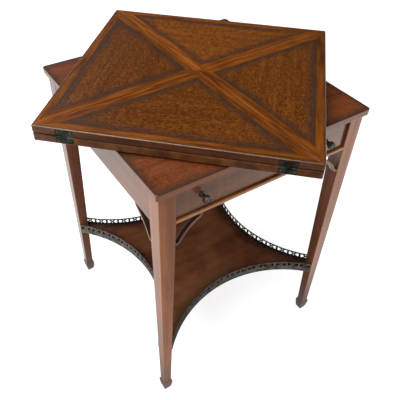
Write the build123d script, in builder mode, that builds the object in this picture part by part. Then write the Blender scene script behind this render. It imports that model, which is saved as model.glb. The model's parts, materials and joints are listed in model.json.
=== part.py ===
from build123d import *
import os
from math import asin, cos, degrees, radians, sin, sqrt

# Games table: a square frame with one drawer and an undertier, and a swivelling top whose four
# triangular leaves fold out on link hinges. Millimetres, +Z up, origin on the floor under the
# middle of the frame. The drawer faces -Y.

# Main sizes
frame_width = 494.0
frame_height = 700.0
top_width = 522.6
top_turn = 46.0  # degrees that the top stands turned on the frame

# Legs and spade feet
leg_width = 35.5
leg_arris = 1.2
ankle_width = 19.7
ankle_height = 37.0
foot_rim_width = 24.5
foot_rim_height = 34.0
foot_base_width = 17.0
foot_swell = 0.9

# Frieze boards and their tenons
frieze_depth = 77.5
apron_thickness = 18.0
apron_setback = 0.6
tenon_length = 20.0
tenon_thickness = 6.0
tenon_inset = 6.6
tenon_shoulder = 13.0

# Rail under the drawer
rail_thickness = 7.5
rail_depth = 60.0
rail_nose = 2.0
rail_tenon_length = 12.0
rail_tenon_width = 24.0
rail_tenon_shoulder = 1.5

# Drawer runners and glue blocks
runner_inset = 32.4
guide_clearance = 0.2
guide_height = 19.5
block_height = 16.0
block_clearance = 2.4
block_length = 60.0
block_spread = 110.0

# Frame top
frame_top_thickness = 17.5
frame_top_overhang = 7.6
frame_top_corner = 6.6
frame_top_arris = 1.0
frame_top_round = 6.0

# Open fret brackets
bracket_reach = 57.0
bracket_width = 6.0
bracket_depth = 10.0
bracket_setback = 1.0
bracket_hook_radius = 11.3
bracket_hook_turn = 62.0  # degrees
bracket_housing = 4.0

# Undertier and its pierced galleries
tier_top = 192.5
tier_thickness = 16.0
tier_waist = 301.6
tier_edge_setback = 1.0
tier_housing = 4.0
gallery_height = 31.5
gallery_lip = 4.0
gallery_thickness = 1.6
gallery_fit = 0.25
gallery_end_setback = 1.5
gallery_top_rail = 4.0
gallery_foot = 4.5
gallery_stile = 5.6
gallery_knot_width = 7.2
gallery_knot_height = 2.8
gallery_units = 14

# Drawer
drawer_recess = 6.0
drawer_gap = 1.5
drawer_rise = 0.8
drawer_side_rise = 0.4
drawer_front_thickness = 18.0
drawer_side_thickness = 9.0
drawer_side_height = 63.1
drawer_rear_gap = 43.4
drawer_back_drop = 12.0
drawer_bottom_thickness = 5.0
drawer_bottom_rise = 7.4
groove_depth = 4.0
dovetail_count = 3
dovetail_length = 12.0
dovetail_root = 12.0
dovetail_tip = 16.0

# Knobs
knob_end_inset = 56.5
knob_reach = 22.0
knob_head_diameter = 16.0
knob_head_thickness = 8.5
knob_rim_round = 2.2
knob_collar_diameter = 12.0
knob_collar_thickness = 2.5
knob_stem_diameter = 6.4
knob_stud_diameter = 4.8
knob_stud_length = 13.0
knob_ring_radius = 4.9
knob_ring_width = 1.2
knob_ring_depth = 0.7

# Swivel
swivel_gap = 3.5
swivel_clearance = 0.2
swivel_disc_diameter = 90.0
bolt_diameter = 10.0
bolt_head_diameter = 21.0
bolt_head_thickness = 3.5
bolt_end = 1.0
washer_diameter = 28.0
washer_thickness = 1.6
washer_clearance = 0.3
nut_width = 17.0
nut_thickness = 8.0
swivel_fit = 0.1
bolt_fit = 0.05
disc_fit = 0.3

# Bed and leaves
bed_thickness = 16.0
leaf_thickness = 16.0
leaf_gap = 0.8
mitre_gap = 0.4
top_corner = 3.4
bed_arris = 1.0
leaf_arris = 2.0
inlay_depth = 1.0
edge_band = 19.0
band_margin = 0.6
mitre_band = 20.0
band_joint = 0.1
cloth_margin = 14.0
leaf_cloth_mitre_margin = 30.0
leaf_cloth_corner = 6.0

# Link hinges
hinge_end_inset = 61.3
hinge_setback = 2.5
plate_width = 34.0
plate_height = 14.0
plate_wall = 1.0
link_width = 9.0
link_clearance = 0.3
hinge_pin_diameter = 1.8
hinge_pin_length = 17.0
hinge_pin_fit = 0.05

overrun = 5.0  # how far a cut runs past the piece it cuts

# Heights and half widths that follow from the sizes above
frame_half = frame_width / 2
leg_inner = frame_half - leg_width
frieze_top = frame_height - frame_top_thickness
frieze_bottom = frieze_top - frieze_depth
rail_top = frieze_bottom + rail_thickness
apron_outer = frame_half - apron_setback
apron_inner = apron_outer - apron_thickness
tier_bottom = tier_top - tier_thickness
gallery_bottom = tier_bottom + gallery_lip
bed_bottom = frame_height + swivel_gap
bed_top = bed_bottom + bed_thickness
leaf_bottom = bed_top + leaf_gap
leaf_top = leaf_bottom + leaf_thickness
hinge_height = bed_top + leaf_gap / 2
top_half = top_width / 2
hinge_reach = top_half - hinge_end_inset
plate_thickness = 2 * hinge_setback + plate_wall
pin_rise = leaf_gap / 2 + hinge_setback

# The four sides of the frame, each with its turn from the front and its left and right ends
frame_sides = {
    "front": (0, ("left", "right")),
    "right": (90, ("front", "back")),
    "back": (180, ("right", "left")),
    "left": (270, ("back", "front")),
}
leg_turns = {"front_left": 0, "front_right": 90, "back_right": 180, "back_left": 270}
leaf_turns = {
    "front_right": top_turn,
    "back_right": top_turn + 90,
    "back_left": top_turn + 180,
    "front_left": top_turn + 270,
}


def save(piece, name):
    """Label one piece and write it to its own file."""
    piece.part.label = name
    export_step(piece.part, f"parts/{name}.step")


def turned(solid, turn):
    """A copy of one piece, turned about the table's upright axis."""
    with BuildPart() as piece:
        add(solid, rotation=(0, 0, turn))
    return piece


def without(solid, cutters):
    """A piece with the pieces that are let into it cut out."""
    with BuildPart() as piece:
        add(solid)
        for cutter in cutters:
            add(cutter, mode=Mode.SUBTRACT)
    return piece


# Legs


def leg_width_at(height):
    """Width of the tapered leg at a height between the ankle and the frieze."""
    rise_share = (height - ankle_height) / (frieze_bottom - ankle_height)
    return ankle_width + (leg_width - ankle_width) * rise_share


def leg_section(width):
    """The leg's square section with eased corners, drawn inwards from its outer corner."""
    with Locations((width / 2 - frame_half, width / 2 - frame_half)):
        RectangleRounded(width, width, leg_arris)


def spade_foot():
    """A square foot that swells from its base to a rim and slopes in to the ankle."""
    waist_radius = (foot_base_width + foot_rim_width) / 4 + foot_swell
    with BuildPart() as foot:
        for side_view, join in ((Plane.XZ, Mode.ADD), (Plane.YZ, Mode.INTERSECT)):
            with BuildSketch(side_view):
                with BuildLine():
                    sole = Line((0, 0), (foot_base_width / 2, 0))
                    rim = (foot_rim_width / 2, foot_rim_height)
                    swell = ThreePointArc(sole @ 1, (waist_radius, foot_rim_height / 2), rim)
                    ledge = Line(swell @ 1, (ankle_width / 2, ankle_height))
                    Line(ledge @ 1, (0, ankle_height))
                    mirror(about=Plane.YZ)
                make_face()
            extrude(amount=foot_rim_width, both=True, mode=join)
    return foot.part


def leg_blank():
    """The front left leg before its mortises: square head, two tapered inner faces, foot."""
    ankle_centre = ankle_width / 2 - frame_half
    notch_from = leg_width_at(tier_bottom) - tier_housing - frame_half
    with BuildPart() as leg:
        with BuildSketch(Plane.XY.offset(frieze_bottom)):
            leg_section(leg_width)
        extrude(amount=frieze_depth)
        for height, width in ((ankle_height, ankle_width), (frieze_bottom, leg_width)):
            with BuildSketch(Plane.XY.offset(height)):
                leg_section(width)
        loft()
        with Locations((ankle_centre, ankle_centre)):
            add(spade_foot())
        with BuildSketch(Plane.XY.offset(tier_bottom)):
            with Locations((notch_from, notch_from)):
                Rectangle(leg_width, leg_width, align=(Align.MIN, Align.MIN))
        extrude(amount=tier_thickness, mode=Mode.SUBTRACT)
    return leg.part


# Frieze


def apron():
    """The front frieze board: it stands between two legs, with a tenon at each end."""
    tenon_height = frieze_depth - 2 * tenon_shoulder
    with BuildPart() as board:
        with BuildSketch(Plane.XY.offset(frieze_bottom)):
            with Locations((0, -apron_outer)):
                Rectangle(2 * leg_inner, apron_thickness, align=(Align.CENTER, Align.MIN))
        extrude(amount=frieze_depth)
        with BuildSketch(Plane.XY.offset(frieze_bottom + tenon_shoulder)):
            with Locations((0, tenon_inset - frame_half)):
                Rectangle(
                    2 * (leg_inner + tenon_length), tenon_thickness, align=(Align.CENTER, Align.MIN)
                )
        extrude(amount=tenon_height)
    return board.part


def drawer_rail_board():
    """The thin rail under the drawer, with a rounded nose and a stub tenon at each end."""
    tenon_front = (leg_width - rail_tenon_width) / 2 - frame_half
    with BuildPart() as rail:
        with BuildSketch(Plane.XY.offset(frieze_bottom)):
            with Locations((0, -frame_half)):
                Rectangle(2 * leg_inner, rail_depth, align=(Align.CENTER, Align.MIN))
        extrude(amount=rail_thickness)
        nose = rail.faces().sort_by(Axis.Y)[0].edges().filter_by(Axis.X)
        fillet(nose, radius=rail_nose)
        with BuildSketch(Plane.XY.offset(frieze_bottom + rail_tenon_shoulder)):
            with Locations((0, tenon_front)):
                Rectangle(
                    2 * (leg_inner + rail_tenon_length),
                    rail_tenon_width,
                    align=(Align.CENTER, Align.MIN),
                )
        extrude(amount=rail_thickness - 2 * rail_tenon_shoulder)
    return rail.part


def runner():
    """The right drawer runner: a ledge under the drawer's side and a guide beside it."""
    ledge_inner = apron_inner - runner_inset
    guide_inner = leg_inner - guide_clearance
    back = leg_inner
    front = rail_depth - frame_half
    with BuildPart() as strip:
        with BuildSketch(Plane.XZ.offset(-back)):
            with BuildLine():
                Polyline(
                    (ledge_inner, frieze_bottom),
                    (apron_inner, frieze_bottom),
                    (apron_inner, rail_top + guide_height),
                    (guide_inner, rail_top + guide_height),
                    (guide_inner, rail_top),
                    (ledge_inner, rail_top),
                    close=True,
                )
            make_face()
        extrude(amount=back - front)
    return strip.part


def glue_block_set():
    """Two glue blocks in the corner between each plain frieze board and the frame top."""
    block_depth = apron_inner - leg_inner + drawer_gap - block_clearance
    with BuildPart() as blocks:
        with BuildSketch(Plane.XY.offset(frieze_top - block_height)):
            for side in ("right", "back", "left"):
                turn, _ = frame_sides[side]
                for along in (-block_spread, block_spread):
                    spot = Location((0, 0, 0), (0, 0, turn)) * Location(
                        (along, block_depth / 2 - apron_inner, 0)
                    )
                    with Locations(spot):
                        Rectangle(block_length, block_depth)
        extrude(amount=block_height)
    return blocks


def frame_top_board():
    """The fixed board that the top turns on, with a quarter round on its lower edge."""
    side = frame_width + 2 * frame_top_overhang
    with BuildPart() as board:
        with BuildSketch(Plane.XY.offset(frieze_top)):
            RectangleRounded(side, side, frame_top_corner)
        extrude(amount=frame_top_thickness)
        fillet(board.faces().sort_by(Axis.Z)[0].edges(), radius=frame_top_round)
        chamfer(board.faces().sort_by(Axis.Z)[-1].edges(), length=frame_top_arris)
        with BuildSketch(Plane.XY.offset(frieze_top)):
            Circle(bolt_diameter / 2 + swivel_fit)
        extrude(amount=frame_top_thickness, mode=Mode.SUBTRACT)
    return board


# Brackets


def bracket_blank():
    """The open fret at the left end of the front: a bowed bar between two quarter hooks.

    The bar leaves the rail square to it, bows in towards the corner and enters the leg
    square to it, so the bow's radius follows from the reach and the hooks.
    """
    turn = radians(bracket_hook_turn)
    bow_radius = (bracket_reach - bracket_hook_radius) / (sin(turn) - cos(turn)) - bracket_hook_radius
    bow_turn = 2 * bracket_hook_turn - 90
    middle = bracket_setback + bracket_depth / 2 - frame_half
    fret_plane = Plane(origin=(-leg_inner, middle, frieze_bottom), x_dir=(1, 0, 0), z_dir=(0, -1, 0))
    with BuildPart() as bracket:
        with BuildLine(fret_plane) as path:
            hook = JernArc((bracket_reach, 0), (0, -1), bracket_hook_radius, -bracket_hook_turn)
            bow = JernArc(hook @ 1, hook % 1, bow_radius, bow_turn)
            end = JernArc(bow @ 1, bow % 1, bracket_hook_radius, -bracket_hook_turn)
            Line(end @ 1, end @ 1 + bracket_housing * (end % 1))
        start = path.line @ 0
        with BuildSketch(Plane(origin=start, x_dir=(1, 0, 0), z_dir=(0, 0, -1))):
            Rectangle(bracket_width, bracket_depth)
        sweep()
    return bracket.part


# Undertier


gallery_end = frame_half - leg_width_at(tier_top)
gallery_rise = frame_half - gallery_end_setback - tier_waist / 2
gallery_radius = (gallery_end**2 + gallery_rise**2) / (2 * gallery_rise)
gallery_centre = tier_waist / 2 + gallery_radius
gallery_half_angle = degrees(asin(gallery_end / gallery_radius))
gallery_pitch_angle = 2 * gallery_half_angle / gallery_units
gallery_pitch = radians(gallery_pitch_angle) * gallery_radius


def tier_blank():
    """The undertier board with four concave sides, before the legs are let into it."""
    side = frame_width - 2 * tier_edge_setback
    with BuildPart() as board:
        with BuildSketch(Plane.XY.offset(tier_bottom)):
            Rectangle(side, side)
            with PolarLocations(gallery_centre, 4):
                Circle(gallery_radius + gallery_thickness + gallery_fit, mode=Mode.SUBTRACT)
        extrude(amount=tier_thickness)
    return board.part


def hollow_point(radius, angle):
    """The point at a radius and an angle in degrees from the middle of the front hollow's arc."""
    return (radius * cos(radians(angle)), radius * sin(radians(angle)) - gallery_centre)


def gallery_unit_cut():
    """The four openings of one unit, which leave a saltire between two stiles.

    They lie on the YZ plane, with the saltire's middle at the origin. The saltire's arms
    run at 45 degrees from a knot in its middle.
    """
    rise = (gallery_height + gallery_lip - tier_thickness - gallery_top_rail - gallery_foot) / 2
    side = (gallery_pitch - gallery_stile) / 2
    knot_side = gallery_knot_width / 2
    knot_top = gallery_knot_height / 2
    with BuildPart() as cut:
        with BuildSketch(Plane.YZ):
            with BuildLine():
                Polyline(
                    (knot_side, 0),
                    (knot_side + rise, rise),
                    (side, rise),
                    (side, -rise),
                    (knot_side + rise, -rise),
                    close=True,
                )
            make_face()
            with BuildLine():
                Polyline((0, knot_top), (rise - knot_top, rise), (knot_top - rise, rise), close=True)
            make_face()
            mirror(about=Plane.XZ)
            mirror(about=Plane.YZ)
        extrude(amount=gallery_thickness, both=True)
    return cut.part


def gallery_blank():
    """The front gallery: a thin strip, bent a little at each stile to follow the hollow side."""
    hole_middle = (tier_top + gallery_foot + gallery_bottom + gallery_height - gallery_top_rail) / 2
    chord_radius = gallery_radius * cos(radians(gallery_pitch_angle / 2))
    reach = frame_half - leg_width_at(gallery_bottom)
    first = 90 - gallery_half_angle
    bends = [first + gallery_pitch_angle * (bend - 1) for bend in range(gallery_units + 3)]
    inside = [hollow_point(gallery_radius, bend) for bend in bends]
    outside = [hollow_point(gallery_radius + gallery_thickness, bend) for bend in bends]
    with BuildPart() as strip:
        with BuildSketch(Plane.XY.offset(gallery_bottom)):
            with BuildLine():
                Polyline(*inside, *outside[::-1], close=True)
            make_face()
            with Locations((0, -tier_waist / 2)):
                Rectangle(2 * reach, gallery_centre, mode=Mode.INTERSECT)
        extrude(amount=gallery_height)
        with Locations((0, -gallery_centre, hole_middle)):
            with PolarLocations(
                chord_radius,
                gallery_units,
                start_angle=first + gallery_pitch_angle / 2,
                angular_range=gallery_pitch_angle * gallery_units,
            ):
                add(gallery_unit_cut(), mode=Mode.SUBTRACT)
    return strip.part


# Drawer


drawer_half = leg_inner - drawer_gap
drawer_face = frame_half - drawer_recess
drawer_front_back = drawer_front_thickness - drawer_face
drawer_front_bottom = rail_top + drawer_rise
drawer_side_bottom = rail_top + drawer_side_rise
drawer_rear = apron_inner - drawer_rear_gap
drawer_floor = drawer_side_bottom + drawer_bottom_rise
drawer_bottom_top = drawer_floor + drawer_bottom_thickness
drawer_side_inner = drawer_half - drawer_side_thickness


def drawer_side_blank():
    """The drawer's right side with its row of dovetails at the front."""
    pitch = drawer_side_height / dovetail_count
    with BuildPart() as board:
        with BuildSketch(Plane.YZ.offset(drawer_side_inner)):
            with Locations((drawer_front_back, drawer_side_bottom)):
                Rectangle(
                    drawer_rear - drawer_front_back,
                    drawer_side_height,
                    align=(Align.MIN, Align.MIN),
                )
            for tail in range(dovetail_count):
                middle = drawer_side_bottom + pitch * (tail + 1 / 2)
                tip = drawer_front_back - dovetail_length
                with BuildLine():
                    Polyline(
                        (drawer_front_back, middle - dovetail_root / 2),
                        (tip, middle - dovetail_tip / 2),
                        (tip, middle + dovetail_tip / 2),
                        (drawer_front_back, middle + dovetail_root / 2),
                        close=True,
                    )
                make_face()
        extrude(amount=drawer_side_thickness)
    return board.part


def drawer_bottom_board():
    """The drawer's thin bottom, which runs in grooves and under the back."""
    front = drawer_front_back - groove_depth
    with BuildPart() as board:
        with BuildSketch(Plane.XY.offset(drawer_floor)):
            with Locations((0, front)):
                Rectangle(
                    2 * (drawer_side_inner + groove_depth),
                    drawer_rear - front,
                    align=(Align.CENTER, Align.MIN),
                )
        extrude(amount=drawer_bottom_thickness)
    return board


def drawer_back_board():
    """The drawer's back, housed in the sides and lower than them."""
    with BuildPart() as board:
        with BuildSketch(Plane.XY.offset(drawer_bottom_top)):
            with Locations((0, drawer_rear)):
                Rectangle(
                    2 * (drawer_side_inner + groove_depth),
                    drawer_side_thickness,
                    align=(Align.CENTER, Align.MAX),
                )
        extrude(amount=drawer_side_bottom + drawer_side_height - drawer_back_drop - drawer_bottom_top)
    return board


def drawer_front_blank():
    """The drawer front before its joints are cut."""
    with BuildPart() as board:
        with BuildSketch(Plane.XY.offset(drawer_front_bottom)):
            with Locations((0, -drawer_face)):
                Rectangle(2 * drawer_half, drawer_front_thickness, align=(Align.CENTER, Align.MIN))
        extrude(amount=frieze_top - drawer_rise - drawer_front_bottom)
    return board.part


def knob_blank():
    """A turned knob on the +Z axis: stud, collar, stem and a ringed head."""
    collar = knob_collar_diameter / 2
    stem = knob_stem_diameter / 2
    stud = knob_stud_diameter / 2
    head = knob_head_diameter / 2
    head_start = knob_reach - knob_head_thickness
    with BuildPart() as knob:
        with BuildSketch(Plane.XZ):
            with BuildLine():
                Polyline(
                    (0, -knob_stud_length),
                    (stud, -knob_stud_length),
                    (stud, 0),
                    (collar, 0),
                    (collar, knob_collar_thickness),
                    (stem, knob_collar_thickness),
                    (stem, head_start),
                    (head - knob_rim_round, head_start),
                    (head, head_start + knob_rim_round),
                    (head, knob_reach - knob_rim_round),
                )
                rim = (head, knob_reach - knob_rim_round)
                brow = RadiusArc(rim, (head - knob_rim_round, knob_reach), -knob_rim_round)
                Polyline(
                    brow @ 1,
                    (knob_ring_radius + knob_ring_width / 2, knob_reach),
                    (knob_ring_radius, knob_reach - knob_ring_depth),
                    (knob_ring_radius - knob_ring_width / 2, knob_reach),
                    (0, knob_reach),
                    (0, -knob_stud_length),
                )
            make_face()
        revolve(axis=Axis.Z)
    return knob.part


def placed_knob(side):
    """One knob in the drawer front, on the left (-1) or the right (1)."""
    middle = (drawer_front_bottom + frieze_top - drawer_rise) / 2
    along = side * (drawer_half - knob_end_inset)
    with BuildPart() as knob:
        with Locations(Location((along, -drawer_face, middle), (90, 0, 0))):
            add(knob_blank())
    return knob


# Swivel


bolt_head_bottom = bed_top - inlay_depth - bolt_head_thickness
washer_top = frieze_top - washer_clearance
nut_top = washer_top - washer_thickness
bolt_bottom = nut_top - nut_thickness - bolt_end


def swivel_disc_ring():
    """The thin disc on the frame top that carries the turning bed."""
    with BuildPart() as disc:
        with BuildSketch(Plane.XY.offset(frame_height)):
            Circle(swivel_disc_diameter / 2)
            Circle(bolt_diameter / 2 + disc_fit, mode=Mode.SUBTRACT)
        extrude(amount=swivel_gap - swivel_clearance)
    return disc


def bolt():
    """The centre bolt: a thin round head let into the bed and a plain shank."""
    with BuildPart() as piece:
        with BuildSketch(Plane.XY.offset(bolt_bottom)):
            Circle(bolt_diameter / 2)
        extrude(amount=bolt_head_bottom - bolt_bottom)
        with BuildSketch(Plane.XY.offset(bolt_head_bottom)):
            Circle(bolt_head_diameter / 2)
        extrude(amount=bolt_head_thickness)
    return piece


def bolt_washer():
    """The plain washer under the frame top."""
    with BuildPart() as washer:
        with BuildSketch(Plane.XY.offset(nut_top)):
            Circle(washer_diameter / 2)
            Circle(bolt_diameter / 2, mode=Mode.SUBTRACT)
        extrude(amount=washer_thickness)
    return washer


def bolt_nut():
    """The hexagon nut under the washer."""
    with BuildPart() as nut:
        with BuildSketch(Plane.XY.offset(nut_top - nut_thickness)):
            RegularPolygon(nut_width / 2, 6, major_radius=False)
            Circle(bolt_diameter / 2, mode=Mode.SUBTRACT)
        extrude(amount=nut_thickness)
    return nut


# Link hinges. Each is drawn with its middle at the origin: X along the table's edge, +Y into
# the wood from the edge's face, and Z from the middle of the gap between bed and leaf.


def plate_recess_blank():
    """The space in the bed's edge that one plate fills, with the same rounded arris."""
    with BuildPart() as recess:
        with BuildSketch(Plane.XY.offset(-leaf_gap / 2 - plate_height)):
            Rectangle(plate_width, plate_thickness, align=(Align.CENTER, Align.MIN))
        extrude(amount=plate_height)
        face = recess.faces().sort_by(Axis.Y)[0]
        fillet(face.edges().filter_by(Axis.X).sort_by(Axis.Z)[-1], radius=hinge_setback)
    return recess.part


def hinge_plate_blank():
    """The bed's plate, with a pocket for the link's end and the pin's hole across it.

    The rounded arris has the pin as its centre, so bed and leaf keep their gap as they turn.
    """
    slot_width = link_width + 2 * link_clearance
    with BuildPart() as plate:
        add(plate_recess_blank())
        with BuildSketch(Plane.YZ):
            with Locations((2 * hinge_setback, -pin_rise - hinge_setback)):
                Rectangle(
                    2 * hinge_setback + overrun,
                    2 * hinge_setback + overrun,
                    align=(Align.MAX, Align.MIN),
                )
        extrude(amount=slot_width / 2, both=True, mode=Mode.SUBTRACT)
        with BuildSketch(Plane.YZ):
            with Locations((hinge_setback, -pin_rise)):
                Circle(hinge_pin_diameter / 2 + hinge_pin_fit)
        extrude(amount=hinge_pin_length / 2 + link_clearance, both=True, mode=Mode.SUBTRACT)
    return plate.part


def hinge_link_blank():
    """The link: a round-ended bar with one pin through each end."""
    with BuildPart() as link:
        with BuildSketch(Plane.YZ):
            with Locations(Location((hinge_setback, 0, 0), (0, 0, 90))):
                SlotCenterToCenter(2 * pin_rise, 2 * (hinge_setback - link_clearance))
        extrude(amount=link_width / 2, both=True)
        with BuildSketch(Plane.YZ):
            with Locations((hinge_setback, -pin_rise), (hinge_setback, pin_rise)):
                Circle(hinge_pin_diameter / 2)
        extrude(amount=hinge_pin_length / 2, both=True)
    return link.part


def hinge_pair(solid):
    """Two copies of a hinge piece, at both ends of the front edge of the unturned top."""
    with BuildPart() as pair:
        with Locations(
            (-hinge_reach, -top_half, hinge_height), (hinge_reach, -top_half, hinge_height)
        ):
            add(solid)
    return pair.part


# Bed and leaves, drawn with the front edge of the top square to -Y and turned into place


def bed_blank(recesses):
    """The bed board, recessed for its playing cloth, the bolt's head and the hinge plates."""
    with BuildPart() as bed:
        with BuildSketch(Plane.XY.offset(bed_bottom)):
            RectangleRounded(top_width, top_width, top_corner)
        extrude(amount=bed_thickness)
        fillet(bed.faces().sort_by(Axis.Z)[-1].edges(), radius=hinge_setback)
        chamfer(bed.faces().sort_by(Axis.Z)[0].edges(), length=bed_arris)
        add(bed_cloth_blank(), mode=Mode.SUBTRACT)
        with BuildSketch(Plane.XY.offset(bed_bottom)):
            Circle(bolt_diameter / 2 + bolt_fit)
        extrude(amount=bed_thickness, mode=Mode.SUBTRACT)
        with BuildSketch(Plane.XY.offset(bolt_head_bottom)):
            Circle(bolt_head_diameter / 2 + bolt_fit)
        extrude(amount=bolt_head_thickness, mode=Mode.SUBTRACT)
        for turn in leaf_turns.values():
            add(recesses, rotation=(0, 0, turn - top_turn), mode=Mode.SUBTRACT)
    return bed.part


def bed_cloth_blank():
    """The square of playing cloth that is let into the bed."""
    with BuildPart() as cloth:
        with BuildSketch(Plane.XY.offset(bed_top - inlay_depth)):
            Rectangle(top_width - 2 * cloth_margin, top_width - 2 * cloth_margin)
        extrude(amount=inlay_depth)
    return cloth.part


def wedge(edge_y, mitre_inset):
    """Corners of the front triangle: its base line, and how far it lies inside the diagonals."""
    apex = -sqrt(2) * mitre_inset
    half_base = apex - edge_y
    return [(0, apex), (-half_base, edge_y), (half_base, edge_y)]


def band_outline():
    """The front leaf's crossbanding as one ring, from its rounded arris in to the plain field."""
    outer_inset = leaf_arris + band_margin
    outer = top_width - 2 * outer_inset
    with BuildSketch() as ring:
        RectangleRounded(outer, outer, top_corner - outer_inset)
        Polygon(*wedge(-top_half - overrun, mitre_gap / 2), align=None, mode=Mode.INTERSECT)
        Polygon(*wedge(edge_band - top_half, mitre_band), align=None, mode=Mode.SUBTRACT)
    return ring.sketch


def band_recess_blank():
    """The shallow recess for the crossbanding."""
    with BuildPart() as recess:
        with BuildSketch(Plane.XY.offset(leaf_top - inlay_depth)):
            add(band_outline())
        extrude(amount=inlay_depth)
    return recess.part


def band_blank():
    """Three strips of crossbanding, mitred round the face of the front leaf."""
    field = wedge(edge_band - top_half, mitre_band)
    whole = wedge(-top_half, 0)
    with BuildPart() as band:
        with BuildSketch(Plane.XY.offset(leaf_top - inlay_depth)):
            add(band_outline())
            for inner, corner in zip(field, whole):
                with BuildLine():
                    Line(inner, corner)
                trace(line_width=band_joint, mode=Mode.SUBTRACT)
        extrude(amount=inlay_depth)
    return band.part


def leaf_cloth_blank():
    """The playing cloth on the inner face of the front leaf."""
    with BuildPart() as cloth:
        with BuildSketch(Plane.XY.offset(leaf_bottom)) as outline:
            Polygon(*wedge(cloth_margin - top_half, leaf_cloth_mitre_margin), align=None)
            fillet(outline.vertices(), radius=leaf_cloth_corner)
        extrude(amount=inlay_depth)
    return cloth.part


def leaf_blank(recesses):
    """The front leaf: a quarter of the rounded square slab, recessed for what is let into it."""
    with BuildPart() as leaf:
        with BuildSketch(Plane.XY.offset(leaf_bottom)):
            RectangleRounded(top_width, top_width, top_corner)
        extrude(amount=leaf_thickness)
        fillet(leaf.faces().sort_by(Axis.Z)[0].edges(), radius=hinge_setback)
        fillet(leaf.faces().sort_by(Axis.Z)[-1].edges(), radius=leaf_arris)
        with BuildSketch(Plane.XY.offset(leaf_bottom)):
            Polygon(*wedge(-top_half - overrun, mitre_gap / 2), align=None)
        extrude(amount=leaf_thickness, mode=Mode.INTERSECT)
        for let_in in (band_recess_blank(), leaf_cloth_blank(), recesses):
            add(let_in, mode=Mode.SUBTRACT)
    return leaf.part


# Build the frame

os.makedirs("parts", exist_ok=True)

front_rail = drawer_rail_board()
frieze = {side: turned(apron(), frame_sides[side][0]).part for side in ("right", "back", "left")}
legs = {}
for leg_name, turn in leg_turns.items():
    plain_leg = turned(leg_blank(), turn).part
    legs[leg_name] = without(plain_leg, [front_rail, *frieze.values()])
    save(legs[leg_name], f"leg_{leg_name}")

for side, board in frieze.items():
    save(turned(board, 0), f"apron_{side}")
save(turned(front_rail, 0), "drawer_rail")
save(frame_top_board(), "frame_top")
save(glue_block_set(), "glue_blocks")

save(turned(runner(), 0), "drawer_runner_right")
with BuildPart() as left_runner:
    mirror(runner(), about=Plane.YZ)
save(left_runner, "drawer_runner_left")

leg_solids = [leg.part for leg in legs.values()]
fret = bracket_blank()
with BuildPart() as opposite_fret:
    mirror(fret, about=Plane.YZ)
for side, (turn, (left_end, right_end)) in frame_sides.items():
    for end, solid in ((left_end, fret), (right_end, opposite_fret.part)):
        bracket = without(turned(solid, turn).part, leg_solids)
        save(bracket, f"bracket_{side}_at_{end}")

save(without(tier_blank(), leg_solids), "undertier")
pierced_strip = gallery_blank()
for side, (turn, _) in frame_sides.items():
    save(without(turned(pierced_strip, turn).part, leg_solids), f"gallery_{side}")
save(swivel_disc_ring(), "swivel_disc")

# Build the drawer

right_side = drawer_side_blank()
with BuildPart() as left_side:
    mirror(right_side, about=Plane.YZ)
drawer_floor_board = drawer_bottom_board()
drawer_rear_board = drawer_back_board()
knobs = {"left": placed_knob(-1), "right": placed_knob(1)}
let_into_front = [right_side, left_side.part, drawer_floor_board.part]
let_into_front += [knob.part for knob in knobs.values()]
let_into_sides = [drawer_floor_board.part, drawer_rear_board.part]
save(without(drawer_front_blank(), let_into_front), "drawer_front")
save(without(right_side, let_into_sides), "drawer_side_right")
save(without(left_side.part, let_into_sides), "drawer_side_left")
save(drawer_floor_board, "drawer_bottom")
save(drawer_rear_board, "drawer_back")
for side, knob in knobs.items():
    save(knob, f"knob_{side}")

# Build the turning top

bed_plate = hinge_plate_blank()
with BuildPart() as leaf_plate:
    mirror(bed_plate, about=Plane.XY)
with BuildPart() as leaf_recess:
    mirror(plate_recess_blank(), about=Plane.XY)
bed_plates = hinge_pair(bed_plate)
leaf_plates = hinge_pair(leaf_plate.part)
links = hinge_pair(hinge_link_blank())

save(turned(bed_blank(hinge_pair(plate_recess_blank())), top_turn), "bed")
save(turned(bed_cloth_blank(), top_turn), "bed_baize")
with BuildPart() as all_bed_plates:
    for turn in leaf_turns.values():
        add(bed_plates, rotation=(0, 0, turn))
save(all_bed_plates, "bed_hinge_plates")
save(bolt(), "pivot_bolt")
save(bolt_washer(), "pivot_washer")
save(bolt_nut(), "pivot_nut")

leaf = leaf_blank(hinge_pair(leaf_recess.part))
band = band_blank()
leaf_cloth = leaf_cloth_blank()
for leaf_name, turn in leaf_turns.items():
    save(turned(leaf, turn), f"leaf_{leaf_name}")
    save(turned(band, turn), f"banding_{leaf_name}")
    save(turned(leaf_cloth, turn), f"baize_{leaf_name}")
    save(turned(leaf_plates, turn), f"hinge_plates_{leaf_name}")
    save(turned(links, turn), f"hinge_links_{leaf_name}")
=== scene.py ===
import json
import math
from functools import partialmethod

import bmesh
import bpy
from mathutils import Matrix, Vector

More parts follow.
